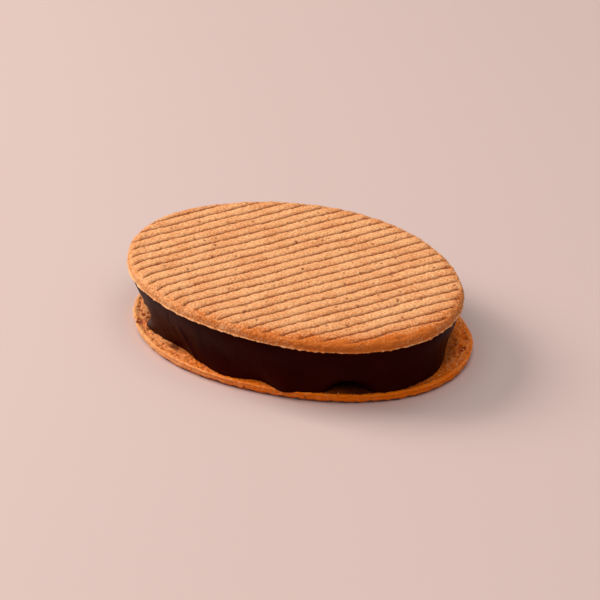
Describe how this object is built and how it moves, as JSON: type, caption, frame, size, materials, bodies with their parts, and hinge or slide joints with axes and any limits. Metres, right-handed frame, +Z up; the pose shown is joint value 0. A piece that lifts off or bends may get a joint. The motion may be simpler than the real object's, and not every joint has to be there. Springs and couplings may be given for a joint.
{
  "type": "ice cream sandwich",
  "caption": "Oval ice cream sandwich: a chocolate-coated filling between two thin biscuits with slanting ridges.",
  "frame": {"origin": "middle of the whole sandwich's outline, on the surface that it stands on", "axes": "+X along the sandwich's length, towards the end that is nearer in the picture; +Y across it, away from the viewer; +Z up"},
  "size_m": [0.0968, 0.068, 0.0204],
  "materials": {
    "lower_biscuit": "baked biscuit, inner side up: porous, darker golden brown, dry and matt",
    "chocolate": "dark chocolate coating, smooth and satin",
    "top_biscuit": "baked biscuit, ridged side up: fine crumb, light golden brown, dry and matt"
  },
  "bodies": {
    "root": {"lower_biscuit": "lower_biscuit", "chocolate_filling": "chocolate", "top_biscuit": "top_biscuit"}
  },
  "joints": []
}
